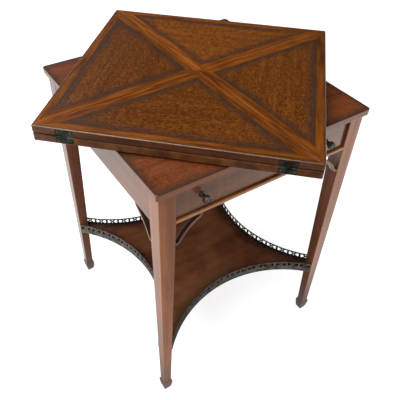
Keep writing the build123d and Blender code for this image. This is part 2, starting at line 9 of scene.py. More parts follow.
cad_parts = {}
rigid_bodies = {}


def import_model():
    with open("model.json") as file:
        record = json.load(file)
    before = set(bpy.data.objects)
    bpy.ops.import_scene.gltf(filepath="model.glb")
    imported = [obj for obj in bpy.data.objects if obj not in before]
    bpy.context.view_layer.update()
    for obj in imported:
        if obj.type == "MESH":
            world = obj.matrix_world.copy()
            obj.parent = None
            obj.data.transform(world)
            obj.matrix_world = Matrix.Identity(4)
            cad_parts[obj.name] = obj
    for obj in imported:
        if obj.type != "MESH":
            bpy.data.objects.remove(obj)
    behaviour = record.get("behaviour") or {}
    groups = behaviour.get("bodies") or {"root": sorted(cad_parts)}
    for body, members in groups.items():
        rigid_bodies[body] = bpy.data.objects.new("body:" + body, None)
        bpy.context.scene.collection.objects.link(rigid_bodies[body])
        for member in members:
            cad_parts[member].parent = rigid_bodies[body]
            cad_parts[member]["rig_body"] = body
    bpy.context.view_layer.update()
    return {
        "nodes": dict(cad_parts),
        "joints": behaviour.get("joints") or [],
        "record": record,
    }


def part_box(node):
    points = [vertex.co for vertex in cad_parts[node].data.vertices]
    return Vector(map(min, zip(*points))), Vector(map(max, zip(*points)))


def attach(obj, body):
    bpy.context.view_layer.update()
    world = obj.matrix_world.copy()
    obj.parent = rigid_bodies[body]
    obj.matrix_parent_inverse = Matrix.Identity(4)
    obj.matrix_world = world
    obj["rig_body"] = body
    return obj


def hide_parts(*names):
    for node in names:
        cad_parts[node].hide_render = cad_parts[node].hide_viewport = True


# Looks of the games table: polished mahogany, crossbanded leaves, pierced galleries, link hinges
# with their screws, turned knobs, playing cloths and a plain white stage. Metres, +Z up, in the
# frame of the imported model.

bl_info = {
    "name": "Games Table",
    "version": (1, 0, 0),
    "blender": (4, 5, 0),
    "location": "3D View > Sidebar > Games Table",
    "description": "Dresses a games table with a swivelling top of four fold-out leaves",
    "category": "Add Mesh",
}

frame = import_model()
nodes = frame["nodes"]
axes = {joint["name"]: joint["axis"] for joint in frame["joints"]}
slots = {part["node"]: part["material_slot"] for part in frame["record"]["subparts"]}

MM = 0.001
QUARTER = math.pi / 2
IMAGE_SIZE = 400
SENSOR_WIDTH = 36.0  # millimetres

LEAVES = ("front_right", "back_right", "back_left", "front_left")
LEGS = ("front_left", "front_right", "back_right", "back_left")
SIDES = ("front", "right", "back", "left")

# How light each leaf is painted, beside the front right one: painted light, for the uneven fall of light
# across the top; the banding takes half the difference
PAINTED_LEAF_LIGHT = {"front_right": 1.0, "back_right": 1.35, "back_left": 0.88, "front_left": 0.90}

# Turns that bring a board's length along X
ALONG_X = Matrix.Identity(3)
ALONG_Y = Matrix.Rotation(-QUARTER, 3, "Z")
ALONG_Z = Matrix.Rotation(QUARTER, 3, "Y")

# Faces, by how far their normals point along an axis
BELOW_TOP = (-1.1, 0.5)
UPPER_ARRIS = (0.3, 0.9)
LOWER_ARRIS = (-0.9, -0.3)
FRET_INSIDE = (0.25, 0.97)
FRONT = (-1.1, -0.5)
BEHIND_FRONT = (-0.5, 1.1)

# Roundings too small to be changed by a user
CLOTH_ROUND = 0.3 * MM
SCREW_ROUND = 0.18 * MM

# Shares of broad stripes, fine streaks and flecks in a wood's figure
STRIPED = (0.65, 0.25, 0.10)
PLAIN = (0.50, 0.25, 0.25)
CLOUDED = (0.35, 0.15, 0.50)
MIXED = (0.35, 0.20, 0.45)
WORN = (0.40, 0.20, 0.40)
MOTTLED = (0.20, 0.15, 0.65)


# Measuring the frame


def leaf_turn(name):
    """Angle in radians of a leaf's hinge line from +X."""
    axis = axes[f"leaf_{name}_turn"]
    return math.atan2(axis[1], axis[0])


def turn_back(name):
    """The turn that brings a leaf's hinge line along X, with the leaf behind it."""
    return Matrix.Rotation(-leaf_turn(name), 3, "Z")


def places_along(node):
    """Every place on a node that lies on the front right edge, turned so that the edge runs along X."""
    back = turn_back(LEAVES[0])
    return [back @ vertex.co for vertex in nodes[node].data.vertices]


def top_half():
    """Half the width of the square top."""
    return -min(place.y for place in places_along(f"leaf_{LEAVES[0]}"))


def gallery_arc():
    """Distance of the front gallery's arc centre from the table's middle, and its inner radius."""
    low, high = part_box("gallery_front")
    inner = high.y - table().gallery.thickness
    rise = inner - low.y
    radius = (high.x**2 + rise**2) / (2 * rise)
    return radius - inner, radius


# Sizes and colours that a user would change


def number(name, description, default, **options):
    """A number property."""
    return bpy.props.FloatProperty(name=name, description=description, default=default, **options)


def length(name, description, default):
    """A length property in metres."""
    return number(name, description, default, unit="LENGTH", subtype="DISTANCE", precision=5)


def angle(name, description, degrees):
    """An angle property, with its default in degrees."""
    return number(name, description, math.radians(degrees), subtype="ANGLE")


def triple(name, description, default, **options):
    """A property of three numbers."""
    options.update(name=name, description=description, default=default)
    return bpy.props.FloatVectorProperty(size=3, **options)


def point(name, description, default):
    """A place in metres."""
    return triple(name, description, default, subtype="XYZ", unit="LENGTH")


def colour(name, description, default):
    """A colour property with its plain linear default."""
    return triple(name, description, default, subtype="COLOR", min=0, max=1)


def label(name):
    """The words that a user sees for a property."""
    return name.replace("_", " ").capitalize()


def tones(**surfaces):
    """Colour properties for the light and the dark parts of each surface, by its name."""
    made = {}
    for name, (what, light, dark) in surfaces.items():
        made[f"{name}_light"] = colour(label(f"{name}_light"), f"Light parts of {what}", light)
        made[f"{name}_dark"] = colour(label(f"{name}_dark"), f"Dark parts of {what}", dark)
    return made


def lengths(**sizes):
    """Length properties by name, with their defaults in millimetres."""
    return {name: length(label(name), what, size * MM) for name, (what, size) in sizes.items()}


class WoodSettings(bpy.types.PropertyGroup):
    """Colours of the table's woods, and how much their sharp edges are softened."""

    __annotations__ = tones(
        frame=("the frame's mahogany", (0.32, 0.110, 0.038), (0.15, 0.045, 0.018)),
        top=("the fixed top board", (0.23, 0.058, 0.014), (0.085, 0.021, 0.007)),
        leaf=("the leaves' mottle", (0.28, 0.088, 0.005), (0.082, 0.019, 0.001)),
        band=("the crossbanding", (0.258, 0.068, 0.002), (0.074, 0.018, 0.001)),
        edge=("the top's edges", (0.175, 0.055, 0.010), (0.068, 0.018, 0.003)),
        # Partly painted highlight: the leaves' upper arrises are painted lighter for their wear and for the
        # highlight the light leaves along them
        worn=("the worn arrises and their painted highlight", (0.36, 0.18, 0.08), (0.16, 0.065, 0.024)),
        drawer=("the drawer front", (0.30, 0.115, 0.042), (0.17, 0.062, 0.023)),
        # Partly painted reflection: the rail's own yellow-brown is painted much lighter, for the bright
        # reflection along its front
        rail=("the rail under the drawer", (0.70, 0.29, 0.10), (0.40, 0.15, 0.045)),
        # Painted light and shade: the legs' faces that the light falls on are painted paler, the others
        # darker, as lit and shaded copies of one wood
        pale_leg=("the paler faces of the front legs", (0.52, 0.165, 0.038), (0.26, 0.075, 0.018)),
        leg=("the legs' other faces", (0.24, 0.078, 0.032), (0.105, 0.031, 0.014)),
        shelf=("the undertier", (0.190, 0.068, 0.025), (0.098, 0.029, 0.013)),
        oak=("the drawer's linings and the frame's unseen woods", (0.50, 0.34, 0.17), (0.32, 0.19, 0.08)),
    )
    seam: colour("Mitre line", "Dark line where two leaves meet", (0.040, 0.006, 0.003))
    shadow: colour("Stained edge", "Old polish that has gathered beside the edges", (0.040, 0.022, 0.016))
    # Painted shade: this near-black colour stands for the shade in the gap under the leaves, on the rail
    # before the drawer and on the shelf beside the galleries
    gap: colour("Gap", "Painted shade in the gaps under the leaves, before the drawer and beside the galleries", (0.012, 0.006, 0.004))
    # Painted shade: this near-black colour stands for the shade on the brackets' inner faces, under the
    # frieze
    fret_shade: colour("Fret shade", "Painted shade on the frets' inner faces", (0.030, 0.020, 0.016))
    foot: colour("Foot stain", "Dirt and wax that grey the feet", (0.142, 0.112, 0.101))
    board_edge: length("Board edge", "Softening of the boards' edges", 0.6 * MM)
    bracket_edge: length("Bracket edge", "Softening of the brackets' edges", 1.0 * MM)
    mitre_edge: length("Mitre edge", "Softening of the leaves' mitred edges", 0.7 * MM)


class ClothSettings(bpy.types.PropertyGroup):
    """Colours of the table's cloths."""

    baize: colour("Baize", "Playing cloth", (0.030, 0.150, 0.065))
    baize_worn: colour("Worn baize", "Playing cloth where it has faded", (0.060, 0.190, 0.090))
    felt: colour("Felt", "Disc under the swivelling top", (0.030, 0.026, 0.022))


class MetalSettings(bpy.types.PropertyGroup):
    """Colours of the table's metals, rubbed and tarnished."""

    __annotations__ = tones(
        gallery=("the galleries' metal", (0.255, 0.230, 0.203), (0.092, 0.081, 0.072)),
        hinge=("the hinges' metal", (0.120, 0.120, 0.100), (0.030, 0.030, 0.026)),
        screw=("the screw heads", (0.30, 0.29, 0.25), (0.05, 0.048, 0.040)),
        knob=("the knobs' metal", (0.240, 0.215, 0.180), (0.045, 0.038, 0.032)),
        steel=("the swivel bolt's steel", (0.50, 0.49, 0.46), (0.20, 0.18, 0.16)),
    )


class GallerySettings(bpy.types.PropertyGroup):
    """Sizes of the pierced galleries."""

    __annotations__ = lengths(
        thickness=("Thickness of the strip", 1.6),
        top_rail=("Height of the plain rail over the openings", 4.0),
        foot=("Height from the shelf to the openings", 4.5),
        stile=("Width of the solid stile between two saltires", 5.6),
        knot_width=("Width of the knot in a saltire's middle", 6.6),
        knot_height=("Height of the knot in a saltire's middle", 2.8),
        corner=("Radius in the openings' corners", 1.0),
        arris=("Softening of the strip's edges", 0.25),
    )
    units: bpy.props.IntProperty(name="Units", description="Saltires along one gallery", default=15, min=2)


class ScrewSettings(bpy.types.PropertyGroup):
    """Sizes of the hinge screws."""

    __annotations__ = lengths(
        diameter=("Diameter of a screw head", 5.0),
        slot=("Width of the slot", 0.7),
        depth=("Depth of the slot", 0.5),
        proud=("How far a head stands out of its plate", 0.35),
        spread=("Distance of a screw from the middle of its plate", 12.0),
        rise=("Height of a screw over its plate's far edge", 5.0),
    )


class KnobSettings(bpy.types.PropertyGroup):
    """Sizes of the turned knobs."""

    __annotations__ = lengths(
        collar_radius=("Radius of the collar on the drawer", 6.0),
        collar_thickness=("Thickness of the collar", 2.5),
        stem_radius=("Radius of the stem", 4.3),
        head_radius=("Radius of the head", 8.0),
        head_thickness=("Thickness of the head", 10.0),
        reach=("How far the knob stands out of the drawer", 22.0),
        ring_radius=("Radius of the ring turned in the head", 4.9),
        stud_length=("How far the stud goes into the drawer", 13.0),
        stud_radius=("Radius of the stud", 2.4),
    )


class StageSettings(bpy.types.PropertyGroup):
    """The camera, the floor and the light."""

    eye: point("Eye", "Where the camera stands", (-0.543615, -0.780424, 1.252776))
    heading: angle("Heading", "Turn of the view from +Y towards +X", 34.3435)
    tilt: angle("Tilt", "How far the view looks down", 44.0682)
    roll: angle("Roll", "Turn of the picture about its middle", 1.7216)
    focal: number("Focal length", "Focal length in pixels of the photograph's frame", 497.025)
    centre_x: number("Centre across", "Optical centre in pixels from the left", 191.507)
    centre_y: number("Centre down", "Optical centre in pixels from the top", 209.226)
    floor_size: length("Floor", "Side of the square floor", 24.0)
    dim_spot: point("Dim patch", "Middle of the dim patch that the polish mirrors", (-0.85, -0.75, 0.0))
    world_light: number("Sky light", "Strength of the light from all round", 0.55, min=0)
    key_light: number("Key light", "Power of the large lamp in watts", 38.0, min=0)


GROUPS = {
    "wood": WoodSettings, "cloth": ClothSettings, "metal": MetalSettings, "gallery": GallerySettings,
    "screw": ScrewSettings, "knob": KnobSettings, "stage": StageSettings,
}


class GamesTableSettings(bpy.types.PropertyGroup):
    """Everything about the table that a user would change."""

    __annotations__ = {name: bpy.props.PointerProperty(type=group) for name, group in GROUPS.items()}


def table():
    """The settings of the table in this scene."""
    return bpy.context.scene.games_table


def scaled(rgb, factor):
    """A colour times a number."""
    return [factor * part for part in rgb]


def pair(group, name, tone=1.0):
    """The light and the dark colour of a surface in a group of settings, times a tone."""
    settings = getattr(table(), group)
    return [scaled(getattr(settings, f"{name}_{part}"), tone) for part in ("light", "dark")]


# Small tools for node trees


class Value:
    """An output of a node, on which plain arithmetic adds Math nodes."""

    def __init__(self, socket):
        self.socket, self.tree = socket, socket.id_data

    def maths(self, operation, *others):
        """A Math node on this value and on others, which may be numbers."""
        return add_node(self.tree, "ShaderNodeMath", enumerate((self, *others)), operation=operation)

    __add__ = partialmethod(maths, "ADD")
    __sub__ = partialmethod(maths, "SUBTRACT")
    __mul__ = partialmethod(maths, "MULTIPLY")
    __truediv__ = partialmethod(maths, "DIVIDE")
    __abs__ = partialmethod(maths, "ABSOLUTE")

    def __rsub__(self, other):
        return self * -1.0 + other


def adjusted(thing, **options):
    """A thing with some of its options set."""
    for option, value in options.items():
        setattr(thing, option, value)
    return thing


def fill_inputs(node, inputs):
    """Set or link the inputs of a node by name or number."""
    for socket, value in dict(inputs).items():
        if isinstance(value, Value):
            node.id_data.links.new(value.socket, node.inputs[socket])
        else:
            node.inputs[socket].default_value = value


def add_node(tree, kind, inputs=(), output=0, **options):
    """Add a node, set its options, set or link its inputs, and give one of its outputs."""
    made = adjusted(tree.nodes.new(kind), **options)
    fill_inputs(made, inputs)
    return Value(made.outputs[output])


def larger(first, second):
    """The larger of two values."""
    return first.maths("MAXIMUM", second)


def joined(tree, x=0.0, y=0.0, z=0.0):
    """A vector from its three parts."""
    return add_node(tree, "ShaderNodeCombineXYZ", {0: x, 1: y, 2: z})


def split(vector):
    """The three parts of a vector."""
    first = add_node(vector.tree, "ShaderNodeSeparateXYZ", {0: vector})
    return [Value(part) for part in first.socket.node.outputs]


def mixed(share, first, second):
    """A colour between two colours."""
    ends = [end if isinstance(end, Value) else (*end, 1.0) for end in (first, second)]
    return add_node(share.tree, "ShaderNodeMix", {0: share, 6: ends[0], 7: ends[1]}, 2, data_type="RGBA")


def graded(value, low, high, to_low=0.0, to_high=1.0):
    """A smooth step of a value from one range to another."""
    inputs = {0: value, 1: low, 2: high, 3: to_low, 4: to_high}
    return add_node(value.tree, "ShaderNodeMapRange", inputs, interpolation_type="SMOOTHSTEP")


def noise(place, board, along, across, detail=2.0, roughness=0.5):
    """Noise with so many waves to a metre along X and across it."""
    stretch = {"Vector": place, "Scale": (along, across, across)}
    place = add_node(place.tree, "ShaderNodeMapping", stretch)
    inputs = {"Vector": place, "W": board, "Scale": 1.0, "Detail": detail, "Roughness": roughness}
    return add_node(place.tree, "ShaderNodeTexNoise", inputs, noise_dimensions="4D")


def object_place(tree):
    """The place on the piece, in Object coordinates."""
    return add_node(tree, "ShaderNodeTexCoord", output="Object")


def new_finish(name):
    """An empty material with its tree and its shader."""
    material = bpy.data.materials.new(name)
    material.use_nodes = True
    return material, material.node_tree, material.node_tree.nodes["Principled BSDF"]


def relief(height, strength, depth):
    """A fine relief, whose depth in metres is that of a height of 1."""
    inputs = {"Strength": strength, "Distance": depth, "Height": height}
    return add_node(height.tree, "ShaderNodeBump", inputs)


# Distances in metres, by which the polish is stained or painted with shade


def edge_distance(grain, half):
    """From the edge of a square board about the origin."""
    x, y, _ = split(grain)
    return half - larger(abs(x), abs(y))


def hollow_distance(grain, centre, radius):
    """From the nearest hollow side of the undertier."""
    x, y = (abs(part) for part in split(grain)[:2])
    reach = joined(grain.tree, centre - larger(x, y), x.maths("MINIMUM", y))
    return add_node(grain.tree, "ShaderNodeVectorMath", {0: reach}, "Value", operation="LENGTH") - radius


def field_distance(grain, half, edge_band, mitre_band):
    """From the crossbanding into the field of a leaf."""
    x, y, _ = split(grain)
    from_mitre = (y + abs(x)) * -math.sqrt(0.5) - mitre_band
    return (y + (half - edge_band)).maths("MINIMUM", from_mitre)


# Finishes


def stained_or_shaded(base, grain, board, stain, reach, distance):
    """A base colour with a ragged stain or painted shade that fades out over its reach from an edge."""
    ragged = noise(grain, board, 14.0, 14.0, 4.0, 0.65)
    inside = ragged * (-1.6 * reach) + distance(grain)
    return mixed(graded(inside, -0.8 * reach, 0.3 * reach, 0.75, 0.0), base, stain)


def mitred(base, grain, board, line, width, light):
    """A base colour with a line along a mitred edge, where Y is 0, and a painted highlight beside it in
    places.
    """
    mitre = abs(split(grain)[1])
    # Painted highlight: a lighter tone beside the mitre line, for the light caught by the eased mitre
    worn = graded(noise(grain, board, 9.0, 1.0), 0.45, 0.55, 0.0, 0.5)
    worn = worn * graded(mitre, 1.6 * width, 2.2 * width, 1.0, 0.0)
    base = mixed(worn, base, [2.2 * part + 0.02 for part in light])
    return mixed(graded(mitre, 0.5 * width, width, 0.95, 0.0), base, line)


def wood_finish(name, colours, roughness=0.35, coat=0.6, figure=PLAIN, fleck=(60.0, 16.0),
                contrast=(0.38, 0.62), axis=None, shade=None, seam=None):
    """Wood with a figure, pores and old polish.

    fleck gives the flecks per metre along and across the grain, and contrast the tones at which the
    wood is darkest and lightest.
    The grain runs along X of the piece's grain attribute, or along an axis of the object.
    shade gives the colour of a stain or of painted shade, its reach and a function for the distance from an
    edge.
    seam gives the colour and the half width of the line along a mitred edge.
    """
    light, dark = colours
    material, tree, shader = new_finish(name)
    if axis:
        turned = {"Vector": object_place(tree), "Rotation": {"X": (0, 0, 0), "Y": (0, 0, -QUARTER)}[axis]}
        grain, board = add_node(tree, "ShaderNodeMapping", turned), 0.0
    else:
        grain = add_node(tree, "ShaderNodeAttribute", output="Vector", attribute_name="grain")
        board = add_node(tree, "ShaderNodeAttribute", output="Fac", attribute_name="board")
    bend = joined(tree, y=noise(grain, board, 3.0, 9.0) * 0.03)
    flow = add_node(tree, "ShaderNodeVectorMath", {0: grain, 1: bend}, operation="ADD")
    stripe = noise(flow, board, 1.6, 38.0, 3.0, 0.6)
    streak = noise(flow, board, 7.0, 420.0, 3.0, 0.6)
    spots = noise(grain, board, *fleck, 3.0, 0.6)
    tone = stripe * figure[0] + streak * figure[1] + spots * figure[2]
    pore = graded(noise(flow, board, 110.0, 2200.0, 1.0), 0.60, 0.68)
    base = mixed(pore * 0.45, mixed(graded(tone, *contrast), dark, light), scaled(dark, 0.35))
    if shade:
        base = stained_or_shaded(base, grain, board, *shade)
    if seam:
        base = mitred(base, grain, board, *seam, light)
    fill_inputs(shader, {
        "Base Color": base, "Roughness": stripe * 0.12 + (roughness - 0.06),
        "Coat Weight": coat, "Coat Roughness": 0.12, "Normal": relief(streak * 0.6 - pore, 0.18, 0.15 * MM),
    })
    return material


def metal_finish(name, colours, roughness=0.42, spots=0.5):
    """Old metal: tarnish in soft clouds, small dark spots and rubbed lighter places."""
    light, dark = colours
    material, tree, shader = new_finish(name)
    place = object_place(tree)
    cloud = noise(place, 1.0, 70.0, 70.0, 4.0, 0.6)
    spot = noise(place, 4.0, 420.0, 420.0, 2.0, 0.6)
    base = mixed(graded(cloud, 0.36, 0.64), dark, light)
    fill_inputs(shader, {
        "Base Color": mixed(graded(spot, 0.56, 0.66) * spots, base, scaled(dark, 0.4)),
        "Roughness": cloud * -0.2 + (roughness + 0.1), "Metallic": 0.85,
        "Normal": relief(spot, 0.2, 0.1 * MM),
    })
    return material


def cloth_finish(name, new, worn):
    """Felted wool with a short nap."""
    material, tree, shader = new_finish(name)
    place = object_place(tree)
    nap = noise(place, 0.0, 2600.0, 2600.0, 2.0, 0.7)
    base = mixed(graded(noise(place, 2.0, 12.0, 12.0, 4.0, 0.6), 0.40, 0.70), new, worn)
    fill_inputs(shader, {
        "Base Color": mixed(noise(place, 5.0, 800.0, 800.0, 2.0, 0.6) * 0.5, base, scaled(new, 0.5)),
        "Roughness": 0.95, "Sheen Weight": 0.35, "Sheen Roughness": 0.5,
        "Normal": relief(nap, 0.5, 0.2 * MM),
    })
    return material


def bare_woods(name):
    """Bare wood for boards along X and along Y, on which no grain is written."""
    colours = pair("wood", "oak")
    return [wood_finish(f"{name}_{axis}", colours, 0.6, 0.0, axis=axis) for axis in "XY"]


# Making and placing pieces


def merged_copy(node):
    """A copy of a node's mesh as a closed mesh, with its flat faces whole again."""
    work = bmesh.new()
    work.from_mesh(nodes[node].data)
    bmesh.ops.remove_doubles(work, verts=work.verts, dist=0.002 * MM)
    bmesh.ops.dissolve_limit(
        work, angle_limit=math.radians(0.5), verts=work.verts, edges=work.edges, delimit={"NORMAL"}
    )
    return work


def new_object(name, data):
    """An object in the scene."""
    made = bpy.data.objects.new(name, data)
    bpy.context.scene.collection.objects.link(made)
    return made


def round_edges(work, edges, width):
    """Round some edges of a worked shape."""
    bmesh.ops.bevel(work, geom=edges, offset=width, segments=2, profile=0.5, affect="EDGES")


def finished_piece(work, name, finish, smooth_angle=32):
    """An object of a worked shape, smooth except at its edges."""
    mesh = bpy.data.meshes.new(name)
    work.to_mesh(mesh)
    work.free()
    mesh.shade_smooth()
    mesh.set_sharp_from_angle(angle=math.radians(smooth_angle))
    mesh.materials.append(finish)
    return new_object(name, mesh)


def place_piece(piece, body, slot, *stands_for):
    """Put a finished piece on its body, and hide the nodes it stands for."""
    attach(piece, body)
    if stands_for:
        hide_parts(*stands_for)
    return piece


def stand_in(node, piece):
    """Put a piece in the place of one node of the frame."""
    return place_piece(piece, nodes[node]["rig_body"], slots[node], node)


def paint_nodes(finish, *names):
    """Give nodes of the frame their finish, with their shapes as they are."""
    for name in names:
        nodes[name].data.materials.clear()
        nodes[name].data.materials.append(finish)


def finish_faces(piece, finish, normals, axis=2):
    """Give another finish to the faces whose normals lie in a range along X, Y or Z: axis 0, 1 or 2."""
    piece.data.materials.append(finish)
    for face in piece.data.polygons:
        if normals[0] < face.normal[axis] < normals[1]:
            face.material_index = len(piece.data.materials) - 1


def write_grain(mesh, board_at):
    """Give a mesh its grain, which is its place turned so that X runs along the wood, and its boards.

    board_at gives the turn and the number of the board that has a place on the mesh.
    """
    mesh.attributes.new("grain", "FLOAT_VECTOR", "CORNER")
    mesh.attributes.new("board", "FLOAT", "CORNER")
    grain, number = mesh.attributes["grain"].data, mesh.attributes["board"].data
    for face in mesh.polygons:
        turn, board = board_at(face.center)
        for corner in face.loop_indices:
            grain[corner].vector = turn @ mesh.vertices[mesh.loops[corner].vertex_index].co
            number[corner].value = board


def soften(piece, width, sharpest):
    """Round a piece's edges that are sharper than an angle in degrees."""
    adjusted(
        piece.modifiers.new("Softened", "BEVEL"), width=width, segments=2, limit_method="ANGLE",
        angle_limit=math.radians(sharpest), use_clamp_overlap=False,
    )


def dressed(node, work, finish, board_at, easing=0):
    """Stand a wooden piece that knows its grain in for a node, with its large faces shaded flat."""
    piece = finished_piece(work, f"{node}_dressed", finish)
    write_grain(piece.data, board_at)
    if easing:
        soften(piece, easing, 40)
    adjusted(piece.modifiers.new("Flat faces", "WEIGHTED_NORMAL"), keep_sharp=True, weight=100)
    return stand_in(node, piece)


def dress_board(node, finish, turn, board, easing=0):
    """Replace a wooden node by an eased copy of itself, cut from one board."""
    return dressed(node, merged_copy(node), finish, lambda place: (turn, board), easing)


class GAMES_TABLE_OT_frame(bpy.types.Operator):
    """Dress the legs, the frieze, the brackets, the fixed top board and the undertier"""

    bl_idname = "games_table.frame"
    bl_label = "Frame"

    def execute(self, context):
        wood = table().wood
        board_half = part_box("frame_top")[1].x
        drawer_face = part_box("drawer_front")[0].y
        centre, radius = gallery_arc()
        frame_wood = wood_finish("frame_mahogany_polish", pair("wood", "frame"), figure=STRIPED)
        top_wood = wood_finish(
            "frame_top_polish", pair("wood", "top"), roughness=0.3, figure=MIXED, fleck=(110.0, 320.0),
            shade=(wood.shadow, 20 * MM, lambda grain: edge_distance(grain, board_half)),
        )
        rail_wood = wood_finish(
            "rail_polish", pair("wood", "rail"), coat=1.0,
            # Painted shade: the rail darkens within 4 mm of the drawer's face, for the shadow in the gap
            # under the drawer
            shade=(wood.gap, 4 * MM, lambda grain: drawer_face - split(grain)[1]),
        )
        shelf_wood = wood_finish(
            "shelf_polish", pair("wood", "shelf"), roughness=0.22, coat=0.9, figure=CLOUDED,
            fleck=(16.0, 24.0), contrast=(0.34, 0.66),
            # Painted shade: the shelf darkens up to 34 mm from the galleries, for their shadow and reflection
            # on it
            shade=(wood.gap, 34 * MM, lambda grain: hollow_distance(grain, centre, radius)),
        )
        fret_shade_wood = wood_finish("fret_inner_polish", (wood.fret_shade, scaled(wood.fret_shade, 0.6)))
        legs = []
        for number, leg in enumerate(LEGS):
            # Painted light: the near leg is painted lit all over, the other legs painted shaded
            tone, coat = ("leg", 1.0) if number else ("pale_leg", 0.6)
            leg_wood = wood_finish(
                f"leg_polish_{leg}", pair("wood", tone), coat=coat, figure=STRIPED,
                shade=(wood.foot, 170 * MM, lambda grain: abs(split(grain)[0])),
            )
            legs.append(dress_board(f"leg_{leg}", leg_wood, ALONG_Z, number))
        # Painted light: the front right leg's front faces take the near leg's lit finish
        finish_faces(legs[1], legs[0].data.materials[0], FRONT, axis=1)
        for number, side in enumerate(SIDES[1:]):
            dress_board(f"apron_{side}", frame_wood, ALONG_X if side == "back" else ALONG_Y, 10 + number)
        dress_board("drawer_rail", rail_wood, ALONG_X, 20)
        brackets = sorted(name for name in nodes if name.startswith("bracket_"))
        for number, name in enumerate(brackets):
            bracket = dress_board(name, frame_wood, ALONG_Z, 30 + number, wood.bracket_edge)
            # Painted shade on the brackets' inner faces, which face up into the frieze's shadow
            finish_faces(bracket, fret_shade_wood, FRET_INSIDE)
        finish_faces(dress_board("frame_top", top_wood, ALONG_X, 40), frame_wood, BELOW_TOP)
        dress_board("undertier", shelf_wood, ALONG_X, 41, wood.board_edge)
        plain_x, plain_y = bare_woods("carcase_wood")
        paint_nodes(plain_x, "glue_blocks")
        paint_nodes(plain_y, "drawer_runner_left", "drawer_runner_right")
        return {"FINISHED"}


class GAMES_TABLE_OT_leaves(bpy.types.Operator):
    """Dress the bed, the four leaves and their crossbanding"""

    bl_idname = "games_table.leaves"
    bl_label = "Bed and leaves"

    edge_band: length("Edge band", "Width of the band along the hinged edge", 19.0 * MM)
    mitre_band: length("Mitre band", "Width of the band along the mitres", 20.0 * MM)

    def execute(self, context):
        wood = table().wood
        half = top_half()
        field_stain = (
            wood.shadow, 24 * MM, lambda grain: field_distance(grain, half, self.edge_band, self.mitre_band)
        )
        band_stain = (wood.shadow, 7 * MM, lambda grain: split(grain)[1] + half)
        gap_shade_wood = wood_finish("gap_polish", (wood.gap, scaled(wood.gap, 0.6)), 0.9, 0.0)
        edge_wood = wood_finish("bed_polish", pair("wood", "edge"), figure=STRIPED)
        dull_wood = wood_finish("bed_arris", pair("wood", "edge"), 0.9, 0.0)
        worn_highlit_wood = wood_finish("worn_arris", pair("wood", "worn"), figure=WORN)
        bed = dress_board("bed", edge_wood, turn_back(LEAVES[0]), 50)
        finish_faces(bed, dull_wood, UPPER_ARRIS)
        for number, name in enumerate(LEAVES):
            tone, turn = PAINTED_LEAF_LIGHT[name], turn_back(name)
            leaf_wood = wood_finish(
                f"leaf_polish_{name}", pair("wood", "leaf", tone), roughness=0.3, figure=MOTTLED,
                fleck=(170.0, 450.0), contrast=(0.42, 0.68), shade=field_stain,
            )
            band_wood = wood_finish(
                f"banding_polish_{name}", pair("wood", "band", (1 + tone) / 2), roughness=0.3, figure=CLOUDED,
                fleck=(12.0, 110.0), seam=(wood.seam, 1.5 * MM), shade=band_stain,
            )
            leaf = dress_board(f"leaf_{name}", leaf_wood, turn, 60 + number)
            finish_faces(leaf, edge_wood, BELOW_TOP)
            # Painted shade: the leaf's lower arris is near black, for the shaded gap over the bed
            finish_faces(leaf, gap_shade_wood, LOWER_ARRIS)
            # Wear and painted highlight along the leaf's upper arris
            finish_faces(leaf, worn_highlit_wood, UPPER_ARRIS)
            self.dress_bands(name, band_wood, turn, wood.mitre_edge, 70 + 4 * number)
        return {"FINISHED"}

    def dress_bands(self, name, finish, turn, easing, board):
        """Replace the three strips of one leaf, with their grain along them and eased mitres."""
        node = f"banding_{name}"
        half = top_half()
        work = merged_copy(node)
        top = max(vertex.co.z for vertex in work.verts)

        def on_mitre(place):
            """Whether a place is on the upper arris of a mitre."""
            spot = turn @ place
            return spot.z > top - 0.01 * MM and -spot.y - abs(spot.x) < 0.5 * MM

        def board_at(place):
            """The strip along the edge, or the one along the mitre on either side."""
            spot = turn @ place
            from_edge, from_mitre = half + spot.y, (-spot.y - abs(spot.x)) * math.sqrt(0.5)
            if from_mitre * self.edge_band > from_edge * self.mitre_band:
                return turn, board
            side = math.copysign(1, spot.x)
            return Matrix.Rotation(side * math.pi / 4, 3, "Z") @ turn, board + 2 + side

        mitres = [edge for edge in work.edges if all(on_mitre(vertex.co) for vertex in edge.verts)]
        round_edges(work, mitres, easing)
        dressed(node, work, finish, board_at)


class GAMES_TABLE_OT_cloths(bpy.types.Operator):
    """Lay the playing cloths in the bed and the leaves, and the felt disc under the bed"""

    bl_idname = "games_table.cloths"
    bl_label = "Playing cloths"

    def execute(self, context):
        cloth = table().cloth
        baize = cloth_finish("baize_cloth", cloth.baize, cloth.baize_worn)
        self.lay("bed_baize", baize, turn_back(LEAVES[0]), "bed_dressed")
        for name in LEAVES:
            self.lay(f"baize_{name}", baize, turn_back(name), f"leaf_{name}_dressed")
        paint_nodes(cloth_finish("felt_cloth", cloth.felt, cloth.felt), "swivel_disc")
        return {"FINISHED"}

    def lay(self, node, finish, turn, bed):
        """Replace a cloth node by a sheet with softened edges."""
        work = merged_copy(node)
        round_edges(work, list(work.edges), CLOTH_ROUND)
        piece = finished_piece(work, f"{node}_cloth", finish)
        stand_in(node, piece)


class GAMES_TABLE_OT_drawer(bpy.types.Operator):
    """Dress the drawer's front and its oak linings"""

    bl_idname = "games_table.drawer"
    bl_label = "Drawer"

    def execute(self, context):
        colours = pair("wood", "drawer")
        front = wood_finish("drawer_front_polish", colours, roughness=0.2, coat=1.0)
        bare = wood_finish("drawer_front_bare", colours, roughness=0.7, coat=0.0)
        board = dress_board("drawer_front", front, ALONG_X, 90, table().wood.board_edge)
        finish_faces(board, bare, BEHIND_FRONT, axis=1)
        oak_x, oak_y = bare_woods("drawer_oak")
        paint_nodes(oak_x, "drawer_back", "drawer_bottom")
        paint_nodes(oak_y, "drawer_side_left", "drawer_side_right")
        return {"FINISHED"}


